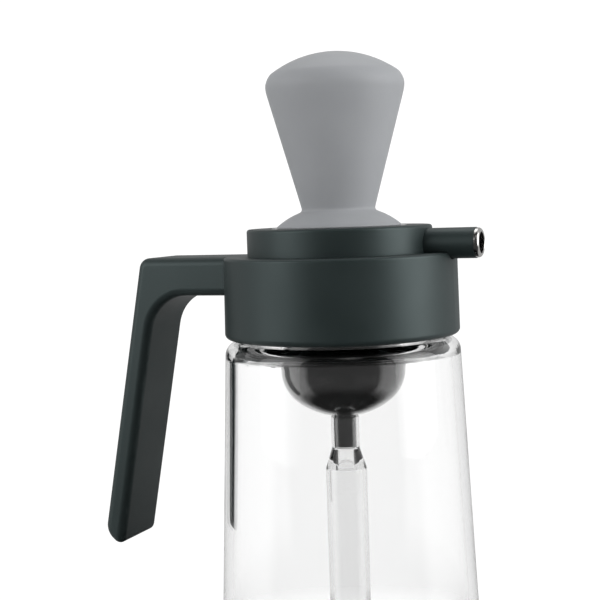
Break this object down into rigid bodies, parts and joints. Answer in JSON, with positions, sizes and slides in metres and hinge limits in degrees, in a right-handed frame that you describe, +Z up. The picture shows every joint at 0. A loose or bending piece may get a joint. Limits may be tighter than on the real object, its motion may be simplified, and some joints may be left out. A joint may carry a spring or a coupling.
{
  "type": "oil dispenser bottle",
  "caption": "Flared glass oil bottle with a screw collar and handle, a pour lid with a side spout, and a lift-out squeeze-bulb dropper with a measuring tube.",
  "frame": {"origin": "centre of the bottle's base, on the table", "axes": "+Z up along the bottle's axis, +X towards the spout, -X towards the handle, +Y across"},
  "size_m": [0.1409, 0.093, 0.2366],
  "materials": {
    "soda_lime_glass": "clear, fire-polished",
    "charcoal_plastic": "satin moulded, dark green-grey",
    "gloss_black_plastic": "polished moulded",
    "grey_silicone": "matt silicone",
    "clear_silicone": "milky translucent silicone",
    "clear_plastic": "clear, polished",
    "stainless_steel": "drawn tube, polished lip"
  },
  "bodies": {
    "bottle": {"glass_bottle": "soda_lime_glass"},
    "gasket": {"neck_gasket": "clear_silicone"},
    "collar": {"collar": "charcoal_plastic"},
    "lid": {"pour_lid": "charcoal_plastic", "lid_seal": "clear_silicone", "spout": "charcoal_plastic", "spout_liner": "stainless_steel"},
    "dropper": {"dropper_bulb": "grey_silicone", "dropper_cup": "gloss_black_plastic", "cup_seal": "clear_silicone", "measuring_tube": "clear_plastic"}
  },
  "joints": [
    {"name": "collar_rise", "type": "slide", "parent": "bottle", "child": "gasket", "axis": [0, 0, 1], "range_m": [0, 0.0034]},
    {"name": "collar_turn", "type": "hinge", "parent": "gasket", "child": "collar", "pos_m": [0, 0, 0.154], "axis": [0, 0, 1], "range_deg": [0, 100]},
    {"name": "lid_lift", "type": "slide", "parent": "collar", "child": "lid", "axis": [0, 0, 1], "range_m": [0, 0.04]},
    {"name": "dropper_lift", "type": "slide", "parent": "lid", "child": "dropper", "axis": [0, 0, 1], "range_m": [0, 0.17]}
  ],
  "couplings": [
    {"joint": "collar_rise", "follows": "collar_turn", "m_per_rad": 0.0019099}
  ]
}
